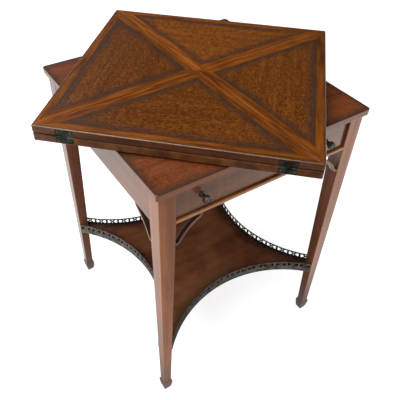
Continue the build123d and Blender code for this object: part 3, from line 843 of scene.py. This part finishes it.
class GAMES_TABLE_OT_knobs(bpy.types.Operator):
    """Turn the two ringed knobs of the drawer"""

    bl_idname = "games_table.knobs"
    bl_label = "Knobs"

    def execute(self, context):
        knob = table().knob
        bronze = metal_finish("knob_patina", pair("metal", "knob"), 0.4, 0.2)
        for side in ("left", "right"):
            low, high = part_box(f"knob_{side}")
            middle = Vector(((low.x + high.x) / 2, low.y + knob.reach, (low.z + high.z) / 2))
            piece = self.turned(knob, middle, f"turned_knob_{side}", bronze)
            place_piece(piece, "drawer", "knob_bronze", f"knob_{side}")
        return {"FINISHED"}

    def bow(self, radius, out, width, depth, first, last, steps):
        """Points on a part of an ellipse, between two angles in quarter turns."""
        turns = (QUARTER * (first + (last - first) * step / steps) for step in range(steps + 1))
        return [(radius + width * math.cos(turn), out + depth * math.sin(turn)) for turn in turns]

    def profile(self, knob):
        """The knob's outline as radius and distance out of the drawer."""
        foot_round, collar_round, head_round = 0.4 * MM, 1.2 * MM, 2.2 * MM
        groove_width, groove_depth = 0.9 * MM, 1.1 * MM
        flare, neck_steps = 1.3 * MM, 12
        collar, head = knob.collar_thickness, knob.head_radius - head_round
        start = knob.reach - knob.head_thickness
        points = [(0, -knob.stud_length), (knob.stud_radius, -knob.stud_length), (knob.stud_radius, 0)]
        points += [(knob.collar_radius - foot_round / 2, 0), (knob.collar_radius, foot_round)]
        points += self.bow(
            knob.collar_radius - collar_round, collar - collar_round, collar_round, collar_round, 0, 1, 4
        )
        for step in range(1, neck_steps):
            share = step / neck_steps
            wider = flare * (1 - math.sin(share * math.pi)) ** 2
            points.append((knob.stem_radius + wider, collar + share * (start - collar)))
        points += self.bow(head, start + head_round, head_round, head_round, -1, 0, 8)
        points += self.bow(head, knob.reach - head_round, head_round, head_round, 0, 1, 8)
        points += self.bow(knob.ring_radius, knob.reach, groove_width, -groove_depth, 0, 2, 8)
        return points + [(0, knob.reach)]

    def turned(self, knob, middle, name, finish):
        """The outline turned round the knob's axis, which points out of the drawer."""
        work = bmesh.new()
        rim = [work.verts.new((radius, -out, 0)) for radius, out in self.profile(knob)]
        edges = [work.edges.new(ends) for ends in zip(rim, rim[1:])]
        bmesh.ops.spin(work, geom=rim + edges, cent=(0, 0, 0), axis=(0, 1, 0), angle=2 * math.pi, steps=48)
        bmesh.ops.remove_doubles(work, verts=work.verts, dist=0.01 * MM)
        bmesh.ops.recalc_face_normals(work, faces=work.faces)
        bmesh.ops.translate(work, verts=work.verts, vec=middle)
        return finished_piece(work, name, finish, 40)


# Geometry trees


def new_tree(name, **inputs):
    """A geometry tree with inputs named under their kinds and one for its metal, and all of them by name."""
    tree = bpy.data.node_groups.new(name, "GeometryNodeTree")
    tree.is_modifier = True
    for kind, names in {**inputs, "Material": ["Metal"]}.items():
        for name in names:
            tree.interface.new_socket(name, in_out="INPUT", socket_type=f"NodeSocket{kind}")
    tree.interface.new_socket("Geometry", in_out="OUTPUT", socket_type="NodeSocketGeometry")
    given = tree.nodes.new("NodeGroupInput").outputs
    return tree, {socket.name: Value(socket) for socket in given if socket.name}


def copies(points, unit, turn):
    """A copy of a unit at each point, as real geometry."""
    inputs = {"Points": points, "Instance": unit, "Rotation": turn}
    placed = add_node(points.tree, "GeometryNodeInstanceOnPoints", inputs)
    return add_node(points.tree, "GeometryNodeRealizeInstances", {0: placed})


def points_at_origin(tree, count):
    """A number of points at the origin."""
    return add_node(tree, "GeometryNodeMeshLine", {"Count": count, "Offset": (0, 0, 0)})


def end_tree(unit, count, first, metal):
    """Repeat a unit round the table, a quarter turn each, and end its tree with real geometry in metal."""
    tree = unit.tree
    turn = joined(tree, z=add_node(tree, "GeometryNodeInputIndex") * QUARTER + first)
    real = copies(points_at_origin(tree, count), unit, turn)
    done = add_node(tree, "GeometryNodeSetMaterial", {"Geometry": real, "Material": metal})
    tree.links.new(done.socket, tree.nodes.new("NodeGroupOutput").inputs[0])


def picked(socket):
    """The geometry of the object that an input names."""
    return add_node(socket.tree, "GeometryNodeObjectInfo", {"Object": socket}, "Geometry")


def gallery_tree():
    """Pierce a flat strip with a row of openings, bend it to an arc and repeat it on four sides."""
    floats = ("Pitch", "Corner", "Span", "Low", "High", "Hole middle", "Radius", "Centre")
    tree, given = new_tree("Pierced gallery", Object=["Openings"], Int=["Units"], Float=floats)
    low, high, pitch, radius = (given[name] for name in ("Low", "High", "Pitch", "Radius"))
    first = pitch * (given["Units"] * -0.5 + 0.5)
    row = add_node(tree, "GeometryNodeMeshLine", {
        "Count": given["Units"], "Start Location": joined(tree, first, given["Hole middle"]),
        "Offset": joined(tree, pitch),
    })
    holes = copies(row, picked(given["Openings"]), joined(tree))
    holes = {"Curve": holes, "Radius": given["Corner"], "Count": 4}
    holes = add_node(tree, "GeometryNodeFilletCurve", holes, mode="POLY")
    outline = {"Width": given["Span"], "Height": high - low}
    outline = {"Curve": add_node(tree, "GeometryNodeCurvePrimitiveQuadrilateral", outline), "Length": 3 * MM}
    outline = add_node(tree, "GeometryNodeResampleCurve", outline, mode="LENGTH")
    outline = {"Geometry": outline, "Translation": joined(tree, y=(high + low) * 0.5)}
    outline = add_node(tree, "GeometryNodeTransform", outline)
    both = tree.nodes.new("GeometryNodeJoinGeometry")
    for part in (holes, outline):
        tree.links.new(part.socket, both.inputs[0])
    sheet = add_node(tree, "GeometryNodeFillCurve", {0: Value(both.outputs[0])}, mode="TRIANGLES")
    along, up, _ = split(add_node(tree, "GeometryNodeInputPosition"))
    turn = along / radius
    bent = joined(tree, turn.maths("SINE") * radius, turn.maths("COSINE") * radius - given["Centre"], up)
    strip = add_node(tree, "GeometryNodeSetPosition", {"Geometry": sheet, "Position": bent})
    end_tree(strip, len(SIDES), 0.0, given["Metal"])
    return tree


def screw_tree():
    """Set screws in pairs on the hinge plates of one or more edges of the top."""
    floats = ("First turn", "Reach", "Spread", "Face", "Height")
    tree, given = new_tree("Hinge screws", Object=["Screw"], Int=["Edges"], Float=floats)
    index = add_node(tree, "GeometryNodeInputIndex")
    plate_side = (index / 2.0).maths("FLOOR") * 2.0 - 1.0
    screw_side = index.maths("MODULO", 2.0) * 2.0 - 1.0
    along = plate_side * given["Reach"] + screw_side * given["Spread"]
    spots = joined(tree, along, given["Face"] * -1.0, given["Height"])
    four = {"Geometry": points_at_origin(tree, 4), "Position": spots}
    four = add_node(tree, "GeometryNodeSetPosition", four)
    spin = {2: -1.2, 3: 1.2, "ID": index, "Seed": 7}
    spin = add_node(tree, "FunctionNodeRandomValue", spin, 1, data_type="FLOAT")
    set_in = copies(four, picked(given["Screw"]), joined(tree, y=spin))
    end_tree(set_in, given["Edges"], given["First turn"], given["Metal"])
    return tree


def tree_host(name, tree, values):
    """A host object with a node tree, whose inputs are set by their identifiers."""
    host = new_object(name, bpy.data.meshes.new(name))
    modifier = host.modifiers.new(tree.name, "NODES")
    modifier.node_group = tree
    for item in tree.interface.items_tree:
        if item.item_type == "SOCKET" and item.in_out == "INPUT":
            modifier[item.identifier] = values[item.name]
    return host


def plain_piece(host, name):
    """The evaluated host as a plain mesh object with no modifiers, and the host removed."""
    bpy.context.view_layer.update()
    mesh = bpy.data.meshes.new_from_object(host.evaluated_get(bpy.context.evaluated_depsgraph_get()))
    mesh.name = name
    host.modifiers.clear()
    bpy.data.objects.remove(host)
    return new_object(name, mesh)


class GAMES_TABLE_OT_galleries(bpy.types.Operator):
    """Make the four pierced galleries of the undertier"""

    bl_idname = "games_table.galleries"
    bl_label = "Galleries"

    def execute(self, context):
        gallery = table().gallery
        low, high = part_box("gallery_front")
        holes_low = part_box("undertier")[1].z + gallery.foot
        centre, radius = gallery_arc()
        span = 2 * radius * math.asin(high.x / radius)
        half_hole = (high.z - gallery.top_rail - holes_low) / 2
        pitch = span / gallery.units
        openings = self.openings(gallery, half_hole, pitch)
        host = tree_host("galleries_host", gallery_tree(), {
            "Openings": openings, "Units": gallery.units, "Pitch": pitch, "Corner": gallery.corner,
            "Span": span, "Low": low.z, "High": high.z, "Hole middle": holes_low + half_hole,
            "Radius": radius, "Centre": centre,
            "Metal": metal_finish("gallery_patina", pair("metal", "gallery")),
        })
        adjusted(host.modifiers.new("Wall", "SOLIDIFY"), thickness=gallery.thickness, offset=1)
        soften(host, gallery.arris, 50)
        piece = plain_piece(host, "galleries")
        piece.data.shade_smooth()
        piece.data.set_sharp_from_angle(angle=math.radians(35))
        bpy.data.objects.remove(openings)
        place_piece(piece, "frame", "gallery_brass", *[f"gallery_{side}" for side in SIDES])
        return {"FINISHED"}

    def openings(self, gallery, rise, pitch):
        """The four openings of one unit as a curve, about the middle of its saltire."""
        side = (pitch - gallery.stile) / 2
        knot_side, knot_top = gallery.knot_width / 2, gallery.knot_height / 2
        corner = knot_side + rise
        flank = [(knot_side, 0), (corner, rise), (side, rise), (side, -rise), (corner, -rise)]
        cap = [(0, knot_top), (rise - knot_top, rise), (knot_top - rise, rise)]
        curve = bpy.data.curves.new("gallery_openings", "CURVE")
        curve.dimensions = "3D"
        for outline in (flank, [(-x, z) for x, z in flank], cap, [(x, -z) for x, z in cap]):
            spline = curve.splines.new("POLY")
            spline.points.add(len(outline) - 1)
            spline.use_cyclic_u = True
            for spot, (x, z) in zip(spline.points, outline):
                spot.co = (x, z, 0, 1)
        return new_object("gallery_openings", curve)


class GAMES_TABLE_OT_hinges(bpy.types.Operator):
    """Give the link hinges their patina and their slotted screws"""

    bl_idname = "games_table.hinges"
    bl_label = "Hinges"

    def execute(self, context):
        screw = table().screw
        plates = [f"hinge_{part}_{name}" for name in LEAVES for part in ("plates", "links")]
        paint_nodes(metal_finish("hinge_patina", pair("metal", "hinge"), 0.45), "bed_hinge_plates", *plates)
        rubbed = metal_finish("screw_patina", pair("metal", "screw"), 0.35, 0.3)
        unit = self.screw(screw, rubbed)
        tree = screw_tree()
        across = [place.x for place in places_along(f"hinge_links_{LEAVES[0]}")]
        values = {
            "Screw": unit, "Reach": -(min(across) + max(x for x in across if x < 0)) / 2,
            "Spread": screw.spread, "Face": top_half(), "Metal": rubbed,
        }
        bed_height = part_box("bed_hinge_plates")[0].z + screw.rise
        leaf_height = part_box("hinge_plates_front_right")[1].z - screw.rise
        rings = [("top", 4, LEAVES[0], bed_height)]
        rings += [(f"leaf_{name}", 1, name, leaf_height) for name in LEAVES]
        for body, edges, first, height in rings:
            values.update({"Edges": edges, "First turn": leaf_turn(first), "Height": height})
            host = tree_host(f"screws_{body}_host", tree, values)
            place_piece(plain_piece(host, f"hinge_screws_{body}"), body, "hinge_brass")
        bpy.data.objects.remove(unit)
        return {"FINISHED"}

    def screw(self, screw, finish):
        """A slotted round head that faces -Y, with its middle at the plate's face."""
        work = bmesh.new()
        radius = screw.diameter / 2
        bmesh.ops.create_circle(work, cap_ends=True, radius=radius, segments=24)
        for side in (-1, 1):
            geom = work.verts[:] + work.edges[:] + work.faces[:]
            spot = (0, side * screw.slot / 2, 0)
            bmesh.ops.bisect_plane(work, geom=geom, plane_co=spot, plane_no=(0, side, 0))
        slot = [face for face in work.faces if abs(face.calc_center_median().y) < screw.slot / 4]
        bmesh.ops.delete(work, geom=slot, context="FACES")
        raised = bmesh.ops.extrude_face_region(work, geom=work.faces[:])
        moved = [item for item in raised["geom"] if isinstance(item, bmesh.types.BMVert)]
        bmesh.ops.translate(work, verts=moved, vec=(0, 0, screw.depth))
        crown = [edge for edge in work.edges if all(vert.co.z > screw.depth / 2 for vert in edge.verts)]
        round_edges(work, crown, SCREW_ROUND)
        bmesh.ops.create_circle(work, cap_ends=True, radius=radius, segments=24)
        bmesh.ops.recalc_face_normals(work, faces=work.faces)
        stand = Matrix.Rotation(QUARTER, 4, "X") @ Matrix.Translation((0, 0, screw.proud - screw.depth))
        bmesh.ops.transform(work, matrix=stand, verts=work.verts)
        return finished_piece(work, "hinge_screw", finish, 40)


class GAMES_TABLE_OT_swivel(bpy.types.Operator):
    """Give the swivel bolt, its washer and its nut their steel"""

    bl_idname = "games_table.swivel"
    bl_label = "Swivel bolt"

    def execute(self, context):
        steel = metal_finish("bolt_steel_dull", pair("metal", "steel"), 0.5, 0.3)
        paint_nodes(steel, "pivot_bolt", "pivot_washer", "pivot_nut")
        return {"FINISHED"}


def light_path(tree, ray):
    """1 for one kind of ray, and 0 for the others."""
    return add_node(tree, "ShaderNodeLightPath", output=ray)


def mirror_path(tree):
    """1 for what polish, metal or glass shows of the stage, and 0 for the rest."""
    return larger(light_path(tree, "Is Glossy Ray"), light_path(tree, "Is Transmission Ray"))


class GAMES_TABLE_OT_stage(bpy.types.Operator):
    """Set up the camera, the white floor and the soft light"""

    bl_idname = "games_table.stage"
    bl_label = "Stage"

    def execute(self, context):
        stage = table().stage
        context.scene.view_settings.view_transform = "Standard"
        self.camera(context, stage)
        self.floor(stage)
        self.world(context, stage)
        self.lamp(stage)
        return {"FINISHED"}

    def camera(self, context, stage):
        """The camera at the photograph's place, with its optical centre."""
        camera = new_object("camera", adjusted(
            bpy.data.cameras.new("camera"), sensor_width=SENSOR_WIDTH,
            lens=stage.focal * SENSOR_WIDTH / IMAGE_SIZE, shift_x=0.5 - stage.centre_x / IMAGE_SIZE,
            shift_y=stage.centre_y / IMAGE_SIZE - 0.5, clip_start=0.05, clip_end=100,
        ))
        turn = Matrix.Rotation(-stage.heading, 4, "Z") @ Matrix.Rotation(QUARTER - stage.tilt, 4, "X")
        turn = turn @ Matrix.Rotation(stage.roll, 4, "Z")
        camera.matrix_world = Matrix.Translation(stage.eye) @ turn
        context.scene.camera = camera

    def floor(self, stage):
        """A large white floor that keeps the table's shadow, with a dim patch before the table.

        The polished faces mirror the floor, and the patch stands for the unlit end of the studio.
        """
        half = stage.floor_size / 2
        corners = [(-half, -half, 0), (half, -half, 0), (half, half, 0), (-half, half, 0)]
        mesh = bpy.data.meshes.new("floor")
        mesh.from_pydata(corners, [], [(0, 1, 2, 3)])
        material, tree, shader = new_finish("floor_white")
        # Lit grey and a little glow together are white to the camera
        fill_inputs(shader, {
            "Base Color": (0.8, 0.8, 0.8, 1), "Roughness": 1.0, "Specular IOR Level": 0.0,
            "Emission Color": (1, 1, 1, 1), "Emission Strength": light_path(tree, "Is Camera Ray") * 0.65,
        })
        place = object_place(tree)
        x, y, _ = split(place)
        away = {0: place, 1: stage.dim_spot}
        away = add_node(tree, "ShaderNodeVectorMath", away, "Value", operation="DISTANCE")
        # Painted reflection for the polish to mirror: outside the patch, the floor is brighter behind, to the
        # right and by the right leg, and under the table it is dimmed, a painted shadow of the table
        behind = larger(graded(x, 0.3, 0.95, 0.40, 1.0), graded(y, -0.6, 0.3, 0.40, 0.95))
        beside = graded(x, 0.1, 0.45) * graded(y, -0.75, -0.5)
        under = graded(larger(abs(x), abs(y)), 0.18, 0.34, 0.08, 1.0)
        glow = graded(away, 0.40, 0.80) * (larger(behind, beside) * under)
        glow = add_node(tree, "ShaderNodeEmission", {"Strength": glow})
        both = {0: mirror_path(tree), 1: Value(shader.outputs[0]), 2: glow}
        both = add_node(tree, "ShaderNodeMixShader", both)
        fill_inputs(tree.nodes["Material Output"], {"Surface": both})
        material.cycles.emission_sampling = "NONE"
        mesh.materials.append(material)
        new_object("floor", mesh)

    def world(self, context, stage):
        """A white surround for the eye, a dim studio above and an even light on the table."""
        world = bpy.data.worlds.new("studio")
        world.use_nodes = True
        tree = world.node_tree
        x, y, z = split(add_node(tree, "ShaderNodeTexCoord", output="Generated"))
        above = larger(graded(z, 0.02, 0.25, 0.8, 0.0), graded(y - x, 0.3, 0.8, 0.0, 0.2))
        mirror = mirror_path(tree)
        lit = (1.0 - mirror) * stage.world_light + mirror * above
        fill_inputs(tree.nodes["Background"], {
            "Color": (1, 1, 1, 1), "Strength": larger(light_path(tree, "Is Camera Ray"), lit),
        })
        world.cycles.sampling_method = "NONE"
        context.scene.world = world

    def lamp(self, stage):
        """One large soft lamp over the left side."""
        data = bpy.data.lights.new("key", "AREA")
        lamp = new_object("key", adjusted(data, shape="SQUARE", size=1.8, energy=stage.key_light))
        lamp.location = (-0.95, 0.0, 2.3)
        aim = Vector((0, 0, 0.5)) - lamp.location
        lamp.rotation_euler = aim.to_track_quat("-Z", "Y").to_euler()


PIECES = (
    GAMES_TABLE_OT_frame, GAMES_TABLE_OT_leaves, GAMES_TABLE_OT_cloths, GAMES_TABLE_OT_drawer,
    GAMES_TABLE_OT_knobs, GAMES_TABLE_OT_galleries, GAMES_TABLE_OT_hinges, GAMES_TABLE_OT_swivel,
    GAMES_TABLE_OT_stage,
)


class GAMES_TABLE_PT_panel(bpy.types.Panel):
    """The table's pieces, in the order in which they are made"""

    bl_label = "Games Table"
    bl_idname = "GAMES_TABLE_PT_panel"
    bl_space_type = "VIEW_3D"
    bl_region_type = "UI"
    bl_category = "Games Table"

    def draw(self, context):
        for piece in PIECES:
            self.layout.operator(piece.bl_idname)


CLASSES = (*GROUPS.values(), GamesTableSettings, *PIECES, GAMES_TABLE_PT_panel)


def register():
    """Register the classes and the scene's settings."""
    for cls in CLASSES:
        bpy.utils.register_class(cls)
    bpy.types.Scene.games_table = bpy.props.PointerProperty(type=GamesTableSettings)


def unregister():
    """Take the settings and the classes out again."""
    del bpy.types.Scene.games_table
    for cls in reversed(CLASSES):
        bpy.utils.unregister_class(cls)


def main():
    """Make every piece and the stage."""
    register()
    bpy.ops.games_table.frame()
    bpy.ops.games_table.leaves()
    bpy.ops.games_table.cloths()
    bpy.ops.games_table.drawer()
    bpy.ops.games_table.knobs()
    bpy.ops.games_table.galleries()
    bpy.ops.games_table.hinges()
    bpy.ops.games_table.swivel()
    bpy.ops.games_table.stage()


if __name__ == "__main__":
    main()
